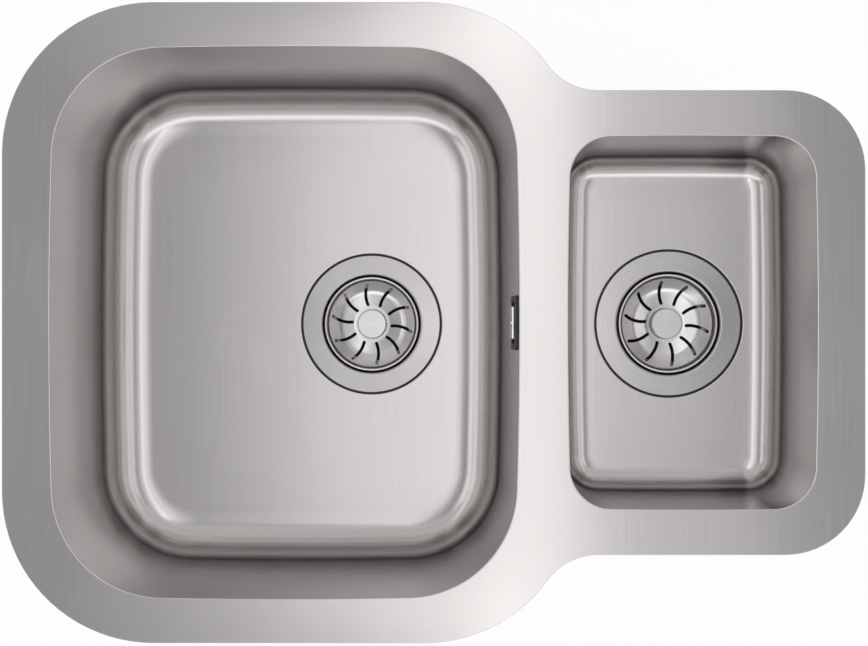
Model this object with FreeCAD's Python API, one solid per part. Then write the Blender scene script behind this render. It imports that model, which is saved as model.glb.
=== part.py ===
import FreeCAD
import Part
import math
import os

from FreeCAD import Vector

# Undermount sink with a main bowl, a half bowl and two basket wastes. Millimetres.
# The origin lies on the top of the rim, midway between the two bowls. X runs
# towards the half bowl, Y towards the back and Z up.

# Steel sheet
sheet = 1.0
wall_draft = 2.4
side_radius = 4200.0
lip_under_radius = 1.4
lip_flat = 2.0
least_floor_corner = 1.0

# Main bowl
main_width = 340.0
main_length = 400.0
main_depth = 190.0
main_corner = 80.0
main_floor_radius = 35.0
main_waste_from_edge = 113.5

# Half bowl
half_width = 180.5
half_length = 270.5
half_depth = 120.0
half_corner = 30.5
half_floor_radius = 23.5

# Rim
bridge = 35.5
rim_side = 34.5
main_rim_end = 32.0
half_rim_end = 33.0
main_rim_reach = 41.5
main_rim_corner = 110.0
half_rim_corner = 58.0
rim_waist_radius = 45.0
rim_edge_round = 0.4

# Waste recess, dish and seals
waste_hole_radius = 45.0
waste_overlap = 12.5
recess_gap = 1.5
recess_depth = 3.0
recess_round = 0.6
gasket_thickness = 1.0
gasket_past = 0.7
bowl_seal_thickness = 3.0
bowl_seal_margin = 2.0
ring_clear = 0.5
dish_sheet = 1.0
dish_hole_gap = 1.7
dish_edge = 0.8
dish_crown = 0.6
dish_lip_round = 3.0
dish_edge_round = 0.4
dish_screw_gap = 0.4
well_depth = 38.0
well_round = 10.0
dip_radius = 11.5
dip_depth = 5.0
dip_round = 0.6
outlet_hole_count = 8
outlet_hole_radius = 4.2
outlet_circle_radius = 18.5

# Waste cup and outlet pipe under the bowl
body_wall = 2.5
body_flange = 5.0
body_flange_round = 1.0
cup_outer_round = 4.0
cup_inner_round = 3.0
body_well_gap = 4.0
body_cone_height = 14.0
body_bore_radius = 19.5
outlet_radius = 23.9
outlet_length = 26.0
outlet_chamfer = 1.0
outlet_collar = 3.5
outlet_collar_height = 4.0
outlet_collar_round = 0.6
hub_rise = 1.0
hub_wall = 3.0
hub_length = 16.0
spoke_count = 4
spoke_width = 3.0
spoke_height = 9.0
spoke_rise = 1.5
gusset_count = 12
gusset_width = 2.4
gusset_drop = 22.0
gusset_toe = 2.0
gusset_margin = 1.5
gusset_sink = 1.0

# Hollow centre screw and its insert
screw_radius = 6.0
screw_head_radius = 9.5
screw_head_height = 4.0
screw_slot = 2.0
screw_end_wall = 4.0
screw_past = 1.0
screw_round = 0.8
screw_mouth_round = 0.3
insert_wall = 2.4
insert_lip = 2.0
insert_lip_reach = 1.8
insert_lip_round = 0.4
insert_short = 0.5
thread_fit = 0.1

# Basket, plug and stem
basket_gap = 2.6
basket_sheet = 0.8
basket_rim_drop = 2.2
basket_floor_drop = 17.5
basket_floor_rise = 1.2
basket_wall_foot = 30.0
basket_wall_lean = 3.2
basket_rim_turn = 2.0
basket_rim_skirt = 2.2
basket_rim_round = 1.0
basket_wall_round = 3.0
basket_floor_round = 20.0
basket_centre_round = 6.0
basket_centre_margin = 2.0
slot_count = 10
slot_width = 2.6
slot_inner = 15.6
slot_middle = 24.5
slot_outer = 33.6
slot_first_angle = -6.8
slot_middle_turn = 1.5
slot_outer_turn = -4.7
slot_cut_under = 4.0
knob_radius = 11.4
knob_head = 4.0
knob_waist = 7.2
knob_foot = 8.6
knob_height = 9.5
knob_waist_share = 0.6
knob_waist_round = 3.0
knob_foot_round = 0.6
knob_head_taper = 0.6
knob_under_round = 0.8
knob_top_round = 1.0
knob_bore_rise = 1.2
stem_radius = 4.0
stem_collar_radius = 7.0
stem_thread_radius = 3.0
stem_thread_short = 0.4
stem_end_gap = 1.5
stem_end_round = 1.2
stem_edge_round = 0.4
slide_gap = 0.3
turn_play = 0.15
turn_fit = 0.08
plug_radius = 31.5
plug_thickness = 4.0
plug_taper = 1.0
plug_foot_round = 0.4
plug_top_round = 1.2
washer_radius = 12.0
washer_thickness = 1.2
catch_wire = 0.5
catch_from_end = 6.0

# Overflow in the wall between the bowls
overflow_drop = 29.0
overflow_hole_radius = 17.5
overflow_clear_radius = 16.0
overflow_frame_size = 40.0
overflow_frame_round = 3.0
overflow_frame_thickness = 1.6
overflow_frame_stand = 0.1
overflow_frame_bevel = 0.5
overflow_sleeve_depth = 4.0
overflow_sleeve_fit = 0.15
overflow_spokes = 3
overflow_spoke_width = 2.4
overflow_spoke_depth = 2.4
overflow_spoke_lap = 0.2
overflow_hub_radius = 5.5
overflow_plate_width = 24.4
overflow_plate_height = 18.0
overflow_plate_thickness = 2.8
overflow_plate_stand = 0.3
overflow_plate_round = 1.0
overflow_plate_bevel = 0.3
overflow_plate_land = 0.2
overflow_screw_radius = 2.5
overflow_screw_head = 4.6
overflow_screw_length = 17.0
overflow_screw_round = 0.5
overflow_screw_crown = 0.3
overflow_slot_width = 0.9
overflow_slot_depth = 0.7
overflow_seal_thickness = 2.0
overflow_seal_width = 4.5
overflow_seal_clear = 0.4
overflow_insert_wall = 1.4
overflow_insert_past = 0.5
housing_wall = 2.4
housing_flange = 3.0
housing_depth = 22.0
housing_flange_margin = 1.0
housing_flange_round = 0.6
housing_neck_round = 1.5
housing_back_round = 4.0
housing_inner_round = 2.0
housing_boss_wall = 1.8
housing_boss_gap = 0.4
housing_boss_sink = 1.0
housing_stop_lap = 0.7
housing_stop_step = 0.5

# Hose between the overflow and the main waste
hose_bore = 8.5
hose_valley = 9.7
hose_crest = 12.0
hose_cuff_radius = 11.0
hose_cuff = 24.0
hose_cuff_step = 0.5
hose_pitch = 4.4
rib_foot = 0.12
rib_top = 0.3
hose_drop = 32.0
hose_stop = 6.0
spigot_fit = 0.15
spigot_wall = 2.0
spigot_short = 3.0
clip_band = 0.9
clip_width = 9.0
clip_fit = 0.05
clip_box_height = 4.5
clip_box_length = 9.0
clip_box_margin = 1.0
clip_screw_radius = 2.6
clip_screw_length = 5.0
clip_screw_out = 1.8
clip_screw_start = 3.0

# Sound pads
pad_thickness = 2.0
pad_margin = 14.0
pad_round = 8.0

# How far cutters run past what they cut
past = 1.0

origin = Vector(0, 0, 0)
up = Vector(0, 0, 1)


def rounded_edges(points, closed):
    """Lines through (x, y, radius) points, each corner rounded by its own radius."""
    count = len(points)
    entries = []
    for i in range(count):
        here = Vector(points[i][0], points[i][1], 0)
        radius = points[i][2]
        end = not closed and i in (0, count - 1)
        if radius < 1e-6 or end:
            entries.append((here, here, None))
            continue
        before = points[i - 1]
        after = points[(i + 1) % count]
        back = (Vector(before[0], before[1], 0) - here).normalize()
        ahead = (Vector(after[0], after[1], 0) - here).normalize()
        half_angle = back.getAngle(ahead) / 2
        reach = radius / math.tan(half_angle)
        bisector = (back + ahead).normalize()
        middle = here + bisector * (radius / math.sin(half_angle) - radius)
        entries.append((here + back * reach, here + ahead * reach, middle))
    edges = []
    last = count if closed else count - 1
    for i in range(count):
        first, second, middle = entries[i]
        if middle is not None:
            edges.append(Part.Arc(first, middle, second).toShape())
        if i < last:
            following = entries[(i + 1) % count][0]
            if second.distanceToPoint(following) > 1e-6:
                edges.append(Part.LineSegment(second, following).toShape())
    return edges


def rounded_face(points):
    """Face inside a closed run of rounded corners."""
    return Part.Face(Part.Wire(rounded_edges(points, True)))


def sheet_points(points, thickness):
    """Closed outline of a sheet whose seen side follows the points, with its
    material to the right of the run."""
    count = len(points)
    steps = []
    for i in range(count - 1):
        run = Vector(points[i + 1][0] - points[i][0], points[i + 1][1] - points[i][1], 0)
        steps.append(run.normalize())
    under = []
    for i in range(count):
        here = Vector(points[i][0], points[i][1], 0)
        before = steps[max(i - 1, 0)]
        after = steps[min(i, count - 2)]
        right_before = Vector(before.y, -before.x, 0)
        right_after = Vector(after.y, -after.x, 0)
        bend = right_before + right_after
        offset = bend * (2 * thickness / bend.dot(bend))
        turn = before.x * after.y - before.y * after.x
        radius = points[i][2]
        if radius > 0:
            radius = max(radius + math.copysign(thickness, turn), 0.0)
        moved = here + offset
        under.append((moved.x, moved.y, radius))
    return list(points) + under[::-1]


def rounded_block(width, length, corner, low, high):
    """Upright block about Z with round corners."""
    points = [
        (-width / 2, -length / 2, corner),
        (width / 2, -length / 2, corner),
        (width / 2, length / 2, corner),
        (-width / 2, length / 2, corner),
    ]
    face = rounded_face(points)
    face.translate(Vector(0, 0, low))
    return face.extrude(Vector(0, 0, high - low))


def bevelled(solid, height, bevel):
    """Solid with the edges at that height taken off."""
    edges = [edge for edge in solid.Edges if abs(edge.BoundBox.ZMin - height) < bevel / 10]
    return solid.makeChamfer(bevel, edges)


def spun(points):
    """Solid of revolution about Z from (radius, height, rounding) points."""
    face = rounded_face(points)
    face.rotate(origin, Vector(1, 0, 0), 90)
    return face.revolve(origin, up, 360)


def tube(outer, inner, low, high):
    """Plain ring about Z."""
    return spun([(inner, low, 0), (outer, low, 0), (outer, high, 0), (inner, high, 0)])


def rod(radius, low, high):
    """Plain cylinder about Z."""
    return Part.makeCylinder(radius, high - low, Vector(0, 0, low))


def ring_of(shape, count, first_angle=0.0):
    """Copies of a shape, spread evenly about Z."""
    copies = []
    for i in range(count):
        copy = shape.copy()
        copy.rotate(origin, up, first_angle + i * 360.0 / count)
        copies.append(copy)
    return copies


def joined(shapes):
    """One solid from touching shapes."""
    return shapes[0].multiFuse(shapes[1:]).removeSplitter()


def bowed_outline(width, length, corner):
    """Arcs of a rectangle with slightly bowed sides and round corners, as
    (centre x, centre y, radius, first angle, last angle), about the origin."""
    p = side_radius - width / 2
    q = side_radius - length / 2
    m = side_radius - corner
    k = (q * q - p * p) / (2 * p) + p
    g = q / p
    a = 1 + g * g
    b = 2 * g * k
    c = k * k - m * m
    y = (-b + math.sqrt(b * b - 4 * a * c)) / (2 * a)
    x = (q * q - p * p + 2 * q * y) / (2 * p)
    side = math.degrees(math.atan2(y, x + p))
    end = math.degrees(math.atan2(x, y + q))
    return [
        (-p, 0, side_radius, -side, side),
        (x, y, corner, side, 90 - end),
        (0, -q, side_radius, 90 - end, 90 + end),
        (-x, y, corner, 90 + end, 180 - side),
        (p, 0, side_radius, 180 - side, 180 + side),
        (-x, -y, corner, 180 + side, 270 - end),
        (0, q, side_radius, 270 - end, 270 + end),
        (x, -y, corner, 270 + end, 360 - side),
    ]


def outline_face(outline, inset):
    """Flat face inside an outline that is drawn in by the inset."""
    edges = []
    for x, y, radius, first, last in outline:
        circle = Part.Circle(Vector(x, y, 0), up, radius - inset)
        edges.append(Part.Arc(circle, math.radians(first), math.radians(last)).toShape())
    return Part.Face(Part.Wire(edges))


def lip_reach():
    """Width of the bowl's lip, from the opening to the weld at the rim."""
    return lip_under_radius + sheet + lip_flat


def wall_inset(depth):
    """How far the drafted wall has come in at a depth."""
    return depth * math.tan(math.radians(wall_draft))


def floor_inset(depth, floor_radius):
    """How far in the flat floor starts."""
    return wall_inset(depth) + floor_radius * math.tan(math.radians(90 - wall_draft) / 2)


def floor_round(depth, floor_radius, corner):
    """Floor radius, limited by the plan radius of the bowl's corner."""
    room = corner - least_floor_corner - wall_inset(depth)
    return min(floor_radius, room / math.tan(math.radians(90 - wall_draft) / 2))


def make_bowl(width, length, depth, corner, floor_radius, waste_x):
    """Drawn bowl about the origin, its rim level at Z 0, with the waste recess."""
    floor_radius = floor_round(depth, floor_radius, corner)
    inset = floor_inset(depth, floor_radius)
    section = sheet_points(
        [
            (-lip_reach(), 0, 0),
            (0, 0, lip_under_radius + sheet),
            (wall_inset(depth), -depth, floor_radius),
            (inset, -depth, 0),
        ],
        sheet,
    )
    outline = bowed_outline(width, length, corner)
    pieces = []
    for x, y, radius, first, last in outline:
        face = rounded_face([(radius - u, z, r) for u, z, r in section])
        face.rotate(origin, Vector(1, 0, 0), 90)
        wall = face.revolve(origin, up, last - first)
        wall.rotate(origin, up, first)
        wall.translate(Vector(x, y, 0))
        pieces.append(wall)
    recess_radius = waste_hole_radius + waste_overlap + recess_gap
    recess_rim = recess_radius + recess_round + 2 * sheet
    floor = outline_face(outline, inset)
    floor.translate(Vector(0, 0, -depth))
    floor = floor.extrude(Vector(0, 0, -sheet))
    opening = rod(recess_rim, -depth - 2 * sheet, -depth + sheet)
    opening.translate(Vector(waste_x, 0, 0))
    pieces.append(floor.cut(opening))
    recess = spun(
        sheet_points(
            [
                (waste_hole_radius, -recess_depth, 0),
                (recess_radius, -recess_depth, recess_round),
                (recess_radius, 0, recess_round + sheet),
                (recess_rim, 0, 0),
            ],
            sheet,
        )
    )
    recess.translate(Vector(waste_x, 0, -depth))
    pieces.append(recess)
    return joined(pieces)


def rim_outline():
    """Outer edge of the rim: the main bowl's round-cornered border, drawn in
    through a waist to the half bowl's narrower border."""
    left = -bridge / 2 - main_width - rim_side
    right = bridge / 2 + half_width + rim_side
    main_y = main_length / 2 + main_rim_end
    half_y = half_length / 2 + half_rim_end
    big = main_rim_corner
    small = half_rim_corner
    waist = rim_waist_radius
    shoulder = Vector(main_rim_reach - bridge / 2 - big, main_y - big, 0)
    rise = half_y + waist - shoulder.y
    neck = Vector(shoulder.x + math.sqrt((big + waist) ** 2 - rise**2), half_y + waist, 0)
    meet = shoulder + (neck - shoulder) * (big / (big + waist))
    lean = math.atan2(neck.y - shoulder.y, neck.x - shoulder.x)
    upper = (math.pi / 2 + lean) / 2
    lower = (1.5 * math.pi + math.pi + lean) / 2
    on_shoulder = shoulder + Vector(math.cos(upper), math.sin(upper), 0) * big
    on_neck = neck + Vector(math.cos(lower), math.sin(lower), 0) * waist
    corner = Vector(right - small, half_y - small, 0)
    far = Vector(left + big, main_y - big, 0)
    diagonal = math.sqrt(0.5)
    top = [
        Part.LineSegment(Vector(right, 0, 0), Vector(right, corner.y, 0)),
        Part.Arc(
            Vector(right, corner.y, 0),
            corner + Vector(diagonal, diagonal, 0) * small,
            Vector(corner.x, half_y, 0),
        ),
        Part.LineSegment(Vector(corner.x, half_y, 0), Vector(neck.x, half_y, 0)),
        Part.Arc(Vector(neck.x, half_y, 0), on_neck, meet),
        Part.Arc(meet, on_shoulder, Vector(shoulder.x, main_y, 0)),
        Part.LineSegment(Vector(shoulder.x, main_y, 0), Vector(far.x, main_y, 0)),
        Part.Arc(
            Vector(far.x, main_y, 0),
            far + Vector(-diagonal, diagonal, 0) * big,
            Vector(left, far.y, 0),
        ),
        Part.LineSegment(Vector(left, far.y, 0), Vector(left, 0, 0)),
    ]
    edges = [curve.toShape() for curve in top]
    mirrored = [edge.mirror(origin, Vector(0, 1, 0)) for edge in edges]
    return Part.Wire(Part.__sortEdges__(edges + mirrored))


def make_rim():
    """Flat flange with a cut-out for each bowl's lip."""
    plate = Part.Face(rim_outline()).extrude(Vector(0, 0, -sheet))
    top_edges = [edge for edge in plate.Edges if edge.BoundBox.ZMin > -sheet / 2]
    plate = plate.makeFillet(min(rim_edge_round, sheet * 0.45), top_edges)
    for x, width, length, corner in bowl_places():
        hole = outline_face(bowed_outline(width, length, corner), -lip_reach())
        hole.translate(Vector(x, 0, sheet))
        plate = plate.cut(hole.extrude(Vector(0, 0, -3 * sheet)))
    return plate


def bowl_places():
    """Middle, width, length and corner of each opening."""
    return [
        (-bridge / 2 - main_width / 2, main_width, main_length, main_corner),
        (bridge / 2 + half_width / 2, half_width, half_length, half_corner),
    ]


# Heights in the waste, measured from the bowl's floor
dish_seat = gasket_thickness - recess_depth
well_floor = -well_depth
dip_floor = well_floor - dip_depth
body_top = -recess_depth - sheet - bowl_seal_thickness
cup_floor = dip_floor - dish_sheet - body_well_gap
throat = cup_floor - body_cone_height
outlet_end = throat - outlet_collar_height - outlet_length
hub_low = throat + hub_rise
hub_high = hub_low + hub_length
basket_top = -basket_rim_drop
basket_floor = -basket_floor_drop
plug_top = well_floor + plug_thickness
washer_top = plug_top + washer_thickness
screw_low = hub_low - insert_lip - screw_past
screw_bottom = screw_low + screw_end_wall
stem_low = screw_bottom + stem_end_gap

# Radii in the waste
flange_radius = waste_hole_radius + waste_overlap
well_radius = waste_hole_radius - dish_hole_gap - dish_sheet
body_radius = well_radius + dish_sheet + body_well_gap
basket_radius = well_radius - basket_gap
screw_bore = stem_radius + slide_gap
insert_radius = screw_radius + thread_fit + insert_wall
hub_radius = insert_radius + hub_wall
tail_radius = outlet_radius + outlet_collar
catch_radius = stem_radius - catch_wire + turn_fit


def make_dish():
    """Waste flange, well and sunk middle in one pressed piece."""
    dish_bore = screw_radius + dish_screw_gap
    solid = spun(
        [
            (dish_bore, dip_floor, 0),
            (dip_radius, dip_floor, dip_round),
            (dip_radius, well_floor, dip_round + dish_sheet),
            (well_radius, well_floor, well_round),
            (well_radius, -dish_crown, dish_lip_round),
            (flange_radius, dish_seat + dish_edge, dish_edge_round),
            (flange_radius, dish_seat, 0),
            (well_radius + dish_sheet, dish_seat, 0),
            (well_radius + dish_sheet, well_floor - dish_sheet, well_round + dish_sheet),
            (dip_radius + dish_sheet, well_floor - dish_sheet, dip_round),
            (dip_radius + dish_sheet, dip_floor - dish_sheet, dip_round + dish_sheet),
            (dish_bore, dip_floor - dish_sheet, 0),
        ]
    )
    hole = rod(outlet_hole_radius, well_floor - 3 * dish_sheet, well_floor + 3 * dish_sheet)
    hole.translate(Vector(outlet_circle_radius, 0, 0))
    return solid.cut(Part.makeCompound(ring_of(hole, outlet_hole_count)))


def body_outside():
    """Outer form of the waste cup, filled in."""
    outer = body_radius + body_wall
    return spun(
        [
            (0, body_top, 0),
            (flange_radius, body_top, 0),
            (flange_radius, body_top - body_flange, body_flange_round),
            (outer, body_top - body_flange, body_flange_round),
            (outer, cup_floor, cup_outer_round),
            (tail_radius, throat, 0),
            (0, throat, 0),
        ]
    )


def make_body(with_inlet):
    """Cup and cone, with a spoked hub and, on the main waste, a hose inlet."""
    outside = body_outside()
    inside = spun(
        [
            (0, body_top + past, 0),
            (body_radius, body_top + past, 0),
            (body_radius, cup_floor, cup_inner_round),
            (body_bore_radius, throat, 0),
            (body_bore_radius, throat - past, 0),
            (0, throat - past, 0),
        ]
    )
    shell = outside.cut(inside)
    spoke = Part.makeBox(body_radius, spoke_width, spoke_height)
    spoke.translate(Vector(0, -spoke_width / 2, hub_low + spoke_rise))
    spokes = [arm.common(outside) for arm in ring_of(spoke, spoke_count, 180.0 / spoke_count)]
    gusset_foot = body_radius + body_wall / 2
    gusset_edge = flange_radius - gusset_margin
    gusset_top = body_top - body_flange + gusset_sink
    gusset = Part.Face(
        Part.makePolygon(
            [
                Vector(gusset_foot, 0, gusset_top),
                Vector(gusset_edge, 0, gusset_top),
                Vector(gusset_edge, 0, gusset_top - gusset_toe),
                Vector(gusset_foot, 0, gusset_top - gusset_drop),
                Vector(gusset_foot, 0, gusset_top),
            ]
        )
    )
    gusset.translate(Vector(0, -gusset_width / 2, 0))
    gusset = gusset.extrude(Vector(0, gusset_width, 0))
    gussets = ring_of(gusset, gusset_count, 180.0 / gusset_count)
    solid = joined([shell, rod(hub_radius, hub_low, hub_high)] + spokes + gussets)
    if with_inlet:
        stop = inlet_part(hose_crest, 0, hose_stop)
        spigot = inlet_part(spigot_radius, 0, inlet_reach)
        bore = inlet_part(spigot_radius - spigot_wall, -body_wall, inlet_reach + past)
        solid = joined([solid, stop, spigot]).cut(bore)
    return solid.cut(rod(insert_radius, hub_low - past, hub_high + past)).removeSplitter()


def make_tail():
    """Outlet pipe welded under the cup, with the trap's thread as a plain cylinder."""
    foot = throat - outlet_collar_height
    return spun(
        [
            (body_bore_radius, throat, 0),
            (tail_radius, throat, 0),
            (tail_radius, foot, outlet_collar_round),
            (outlet_radius, foot, 0),
            (outlet_radius, outlet_end + outlet_chamfer, 0),
            (outlet_radius - outlet_chamfer, outlet_end, 0),
            (body_bore_radius, outlet_end, 0),
        ]
    )


spigot_radius = hose_bore - spigot_fit
inlet_reach = hose_stop + hose_cuff - spigot_short


def inlet_part(radius, start, reach):
    """Cylinder along X at the hose inlet, measured from the body's wall."""
    wall = body_radius + body_wall / 2
    shift = body_wall / 2
    length = reach - start + shift
    return Part.makeCylinder(radius, length, Vector(wall + start, 0, -hose_drop), Vector(1, 0, 0))


def make_waste_insert():
    """Threaded sleeve pushed into the hub from below."""
    bore = screw_radius + thread_fit
    lip = insert_radius + insert_lip_reach
    top = hub_high - insert_short
    return spun(
        [
            (bore, hub_low - insert_lip, 0),
            (lip, hub_low - insert_lip, insert_lip_round),
            (lip, hub_low, 0),
            (insert_radius, hub_low, 0),
            (insert_radius, top, 0),
            (bore, top, 0),
        ]
    )


def make_waste_screw():
    """Hollow screw whose slotted head sits in the dish's sunk middle."""
    head_top = dip_floor + screw_head_height
    solid = spun(
        [
            (0, screw_low, 0),
            (screw_radius, screw_low, screw_round),
            (screw_radius, dip_floor, 0),
            (screw_head_radius, dip_floor, 0),
            (screw_head_radius, head_top, screw_round),
            (screw_bore, head_top, screw_mouth_round),
            (screw_bore, screw_bottom, 0),
            (0, screw_bottom, 0),
        ]
    )
    slot = Part.makeBox(2 * (screw_head_radius + past), screw_slot, screw_slot)
    slot.translate(Vector(-screw_head_radius - past, -screw_slot / 2, head_top - screw_slot))
    return solid.cut(slot)


def make_basket():
    """Pressed bowl with a turned-out rim and curved slots."""
    hole = stem_radius + turn_fit
    foot = knob_foot + basket_centre_margin
    wall = basket_radius - basket_rim_turn
    solid = spun(
        sheet_points(
            [
                (hole, basket_floor, 0),
                (foot, basket_floor, basket_centre_round),
                (basket_wall_foot, basket_floor + basket_floor_rise, basket_floor_round),
                (wall, basket_top - basket_wall_lean, basket_wall_round),
                (wall, basket_top, basket_rim_round),
                (basket_radius, basket_top, basket_rim_round),
                (basket_radius, basket_top - basket_rim_skirt, 0),
            ],
            basket_sheet,
        )
    )
    slots = ring_of(slot_cutter(), slot_count, slot_first_angle)
    return solid.cut(Part.makeCompound(slots))


def slot_cutter():
    """Round-ended curved slot along X, tall enough to pass the cup's floor."""
    half = slot_width / 2
    inner = polar(slot_inner, 0)
    middle = polar(slot_middle, slot_middle_turn)
    outer = polar(slot_outer, slot_outer_turn)
    centre = Part.Arc(inner, middle, outer).toShape().Curve.Center
    edges = []
    sides = []
    for offset in (-half, half):
        ends = []
        for point in (inner, middle, outer):
            ends.append(point + (point - centre).normalize() * offset)
        sides.append(ends)
        edges.append(Part.Arc(ends[0], ends[1], ends[2]).toShape())
    for index, tip, toward in ((0, inner, inner - middle), (2, outer, outer - middle)):
        radial = (tip - centre).normalize()
        along = toward - radial * toward.dot(radial)
        cap = tip + along.normalize() * half
        edges.append(Part.Arc(sides[0][index], cap, sides[1][index]).toShape())
    face = Part.Face(Part.Wire(Part.__sortEdges__(edges)))
    face.translate(Vector(0, 0, basket_floor - slot_cut_under))
    return face.extrude(Vector(0, 0, basket_floor_drop))


def polar(radius, angle):
    """Point in plan."""
    return Vector(radius * math.cos(math.radians(angle)), radius * math.sin(math.radians(angle)), 0)


def make_knob():
    """Lifting knob, screwed on the stem above the cup."""
    low = basket_floor + turn_play
    high = low + knob_height
    bore = stem_thread_radius + thread_fit
    bore_top = high - knob_head + knob_bore_rise
    return spun(
        [
            (bore, low, 0),
            (knob_foot, low, knob_foot_round),
            (knob_waist, low + (knob_height - knob_head) * knob_waist_share, knob_waist_round),
            (knob_radius, high - knob_head + knob_head_taper, knob_under_round),
            (knob_radius, high, knob_top_round),
            (0, high, 0),
            (0, bore_top, 0),
            (bore, bore_top, 0),
        ]
    )


def make_stem():
    """Stem from the knob's thread down into the hollow screw."""
    seat = basket_floor - basket_sheet - turn_play
    neck = basket_floor + turn_play
    thread = neck + knob_height - knob_head + knob_bore_rise - stem_thread_short
    groove = stem_low + catch_from_end
    width = catch_wire + thread_fit
    bed = catch_radius - width
    return spun(
        [
            (0, stem_low, 0),
            (stem_radius, stem_low, stem_end_round),
            (stem_radius, groove - width, 0),
            (bed, groove - width, 0),
            (bed, groove + width, 0),
            (stem_radius, groove + width, 0),
            (stem_radius, washer_top, 0),
            (stem_collar_radius, washer_top, 0),
            (stem_collar_radius, seat, stem_edge_round),
            (stem_radius, seat, 0),
            (stem_radius, neck, 0),
            (stem_thread_radius, neck, 0),
            (stem_thread_radius, thread, stem_edge_round),
            (0, thread, 0),
        ]
    )


def make_plug_washer():
    """Steel disc over the rubber plug."""
    return tube(washer_radius, stem_radius + thread_fit, plug_top, washer_top)


def make_plug_seal():
    """Rubber plug that covers the outlet holes."""
    return spun(
        [
            (stem_radius + thread_fit, well_floor, 0),
            (plug_radius, well_floor, plug_foot_round),
            (plug_radius - plug_taper, plug_top, plug_top_round),
            (stem_radius + thread_fit, plug_top, 0),
        ]
    )


def make_catch_ring():
    """Spring ring in the stem's groove."""
    ring = Part.makeTorus(catch_radius, catch_wire)
    ring.translate(Vector(0, 0, stem_low + catch_from_end))
    return ring


def waste_parts(with_inlet):
    """Every piece of one waste, about its own axis, from the bowl's floor."""
    inner = waste_hole_radius + ring_clear
    gasket = flange_radius + gasket_past
    seal = flange_radius - bowl_seal_margin
    return {
        "waste_dish": make_dish(),
        "dish_gasket": tube(gasket, inner, -recess_depth, dish_seat),
        "bowl_seal": tube(seal, inner, body_top, -recess_depth - sheet),
        "waste_body": make_body(with_inlet),
        "waste_tail": make_tail(),
        "waste_insert": make_waste_insert(),
        "waste_screw": make_waste_screw(),
        "basket_cup": make_basket(),
        "basket_knob": make_knob(),
        "basket_stem": make_stem(),
        "plug_washer": make_plug_washer(),
        "plug_seal": make_plug_seal(),
        "catch_ring": make_catch_ring(),
    }


# Overflow, drawn about the wall's own normal: Z 0 is the wall's inner face
wall_back = -sheet
seal_back = wall_back - overflow_seal_thickness
housing_back = seal_back - housing_depth
housing_radius = overflow_hole_radius + housing_wall
overflow_hub_top = overflow_plate_stand
hub_back = -overflow_sleeve_depth
chamber_middle = (seal_back - housing_flange + housing_back) / 2 + housing_wall / 2


def overflow_place(shape):
    """Sets an overflow piece at its place in the main bowl's wall."""
    turned = shape.copy()
    turned.rotate(origin, Vector(0, 1, 0), -90 + wall_draft)
    turned.translate(Vector(-bridge / 2 - wall_inset(overflow_drop), 0, -overflow_drop))
    return turned


def make_overflow_frame():
    """Square frame with a sleeve through the wall and a spoked hub."""
    sleeve = overflow_hole_radius - overflow_sleeve_fit
    front = overflow_frame_thickness
    size = overflow_frame_size
    flange = rounded_block(size, size, overflow_frame_round, overflow_frame_stand, front)
    frame = joined([bevelled(flange, front, overflow_frame_bevel), rod(sleeve, hub_back, front)])
    frame = frame.cut(rod(overflow_clear_radius, hub_back - past, front + past))
    hub = rod(overflow_hub_radius, hub_back, overflow_hub_top)
    arm = Part.makeBox(sleeve - overflow_spoke_lap, overflow_spoke_width, overflow_spoke_depth)
    arm.translate(Vector(0, -overflow_spoke_width / 2, hub_back))
    arms = ring_of(arm, overflow_spokes, 180.0 / overflow_spokes)
    solid = joined([frame, hub] + arms)
    bore = rod(overflow_screw_radius + thread_fit, hub_back - past, overflow_hub_top + past)
    return solid.cut(bore)


def make_overflow_plate():
    """Cover plate with a countersunk middle."""
    low = overflow_hub_top
    top = low + overflow_plate_thickness
    bore = overflow_screw_radius + thread_fit
    mouth = overflow_screw_head + thread_fit
    plate = rounded_block(overflow_plate_height, overflow_plate_width, overflow_plate_round, low, top)
    sink = spun(
        [
            (0, low - past, 0),
            (bore, low - past, 0),
            (bore, low + overflow_plate_land, 0),
            (mouth, top, 0),
            (mouth, top + past, 0),
            (0, top + past, 0),
        ]
    )
    return bevelled(plate, top, overflow_plate_bevel).cut(sink)


def make_overflow_screw():
    """Countersunk screw with a slot."""
    top = overflow_hub_top + overflow_plate_thickness
    low = top - overflow_screw_length
    solid = spun(
        [
            (0, low, 0),
            (overflow_screw_radius, low, overflow_screw_round),
            (overflow_screw_radius, overflow_hub_top + overflow_plate_land, 0),
            (overflow_screw_head, top, 0),
            (0, top + overflow_screw_crown, 0),
        ]
    )
    slot = Part.makeBox(2 * overflow_screw_head, overflow_slot_width, overflow_slot_depth + past)
    slot.translate(Vector(-overflow_screw_head, -overflow_slot_width / 2, top - overflow_slot_depth))
    return solid.cut(slot)


def make_overflow_seal():
    """Rubber ring between the wall and the housing."""
    inner = overflow_hole_radius + overflow_seal_clear
    return tube(inner + overflow_seal_width, inner, seal_back, wall_back)


overflow_insert_radius = overflow_screw_radius + thread_fit + overflow_insert_wall
overflow_boss_radius = overflow_insert_radius + housing_boss_wall
overflow_boss_top = hub_back - housing_boss_gap


def make_overflow_insert():
    """Threaded sleeve in the housing's boss."""
    low = overflow_hub_top + overflow_plate_thickness - overflow_screw_length - overflow_insert_past
    return tube(overflow_insert_radius, overflow_screw_radius + thread_fit, low, overflow_boss_top)


def hose_line():
    """Plan X of the hose's upright run and the height of its upper end."""
    place = overflow_place(Part.Vertex(0, 0, chamber_middle)).Point
    return place.x, place.z - housing_radius - hose_stop


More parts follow.
